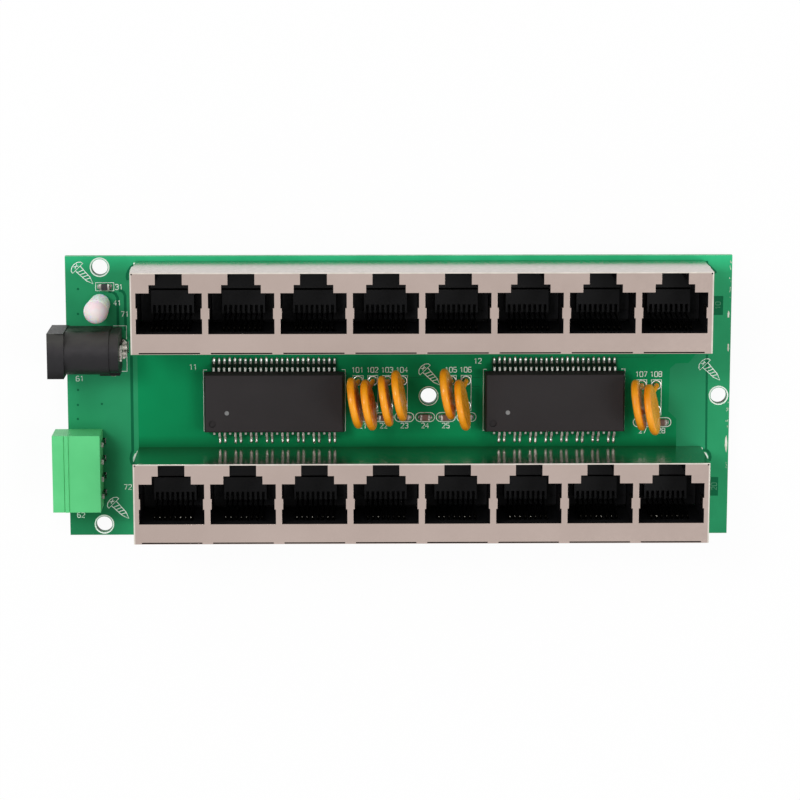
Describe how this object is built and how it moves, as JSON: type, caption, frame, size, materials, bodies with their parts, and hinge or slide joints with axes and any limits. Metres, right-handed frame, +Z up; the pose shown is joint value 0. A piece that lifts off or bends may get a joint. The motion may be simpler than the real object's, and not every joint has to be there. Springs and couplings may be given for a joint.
{
  "type": "multi-port poe injector",
  "caption": "Bare circuit board of a passive power injector: two facing rows of shielded network jacks, fuses and transformers between them, power jack and terminal header at one end.",
  "frame": {"origin": "under the middle of the outline, on the plane of the jack housings' peg tips, which the board rests on", "axes": "+X along the board away from the power inlets, +Y towards the powered row of jacks, +Z up through the jack mouths"},
  "size_m": [0.1352, 0.0566, 0.0202],
  "materials": {
    "board": "satin",
    "silkscreen": "matte",
    "solder": "satin",
    "shield": "satin",
    "jack_moulding": "satin",
    "contact_carrier": "satin",
    "contact": "polished",
    "chip_moulding": "matte",
    "tinned_lead": "satin",
    "fuse_coating": "gloss",
    "capacitor_ceramic": "satin",
    "resistor_ceramic": "satin",
    "led_lens": "satin",
    "power_jack_moulding": "satin",
    "power_jack_metal": "polished",
    "header_moulding": "satin"
  },
  "bodies": {
    "root": {"circuit_board": "board", "poe_jack_shield": "shield", "poe_jack_housing": "jack_moulding", "poe_contact_carriers": "contact_carrier", "poe_port_1_contacts": "contact", "poe_port_2_contacts": "contact", "poe_port_3_contacts": "contact", "poe_port_4_contacts": "contact", "poe_port_5_contacts": "contact", "poe_port_6_contacts": "contact", "poe_port_7_contacts": "contact", "poe_port_8_contacts": "contact", "lan_jack_shield": "shield", "lan_jack_housing": "jack_moulding", "lan_contact_carriers": "contact_carrier", "lan_port_1_contacts": "contact", "lan_port_2_contacts": "contact", "lan_port_3_contacts": "contact", "lan_port_4_contacts": "contact", "lan_port_5_contacts": "contact", "lan_port_6_contacts": "contact", "lan_port_7_contacts": "contact", "lan_port_8_contacts": "contact", "magnetics_1_body": "chip_moulding", "magnetics_1_leads": "tinned_lead", "magnetics_2_body": "chip_moulding", "magnetics_2_leads": "tinned_lead", "fuse_1": "fuse_coating", "capacitor_1": "capacitor_ceramic", "fuse_2": "fuse_coating", "capacitor_2": "capacitor_ceramic", "fuse_3": "fuse_coating", "capacitor_3": "capacitor_ceramic", "fuse_4": "fuse_coating", "capacitor_4": "capacitor_ceramic", "fuse_5": "fuse_coating", "capacitor_5": "capacitor_ceramic", "fuse_6": "fuse_coating", "capacitor_6": "capacitor_ceramic", "fuse_7": "fuse_coating", "capacitor_7": "capacitor_ceramic", "fuse_8": "fuse_coating", "capacitor_8": "capacitor_ceramic", "fuse_leads": "tinned_lead", "capacitor_end_caps": "tinned_lead", "resistor_body": "resistor_ceramic", "resistor_end_caps": "tinned_lead", "led_lens": "led_lens", "led_leads": "tinned_lead", "dc_jack_housing": "power_jack_moulding", "dc_jack_centre_pin": "power_jack_metal", "dc_jack_sleeve_spring": "power_jack_metal", "dc_jack_switch_terminal": "power_jack_metal", "terminal_header_housing": "header_moulding", "terminal_header_pins": "tinned_lead"}
  },
  "joints": []
}
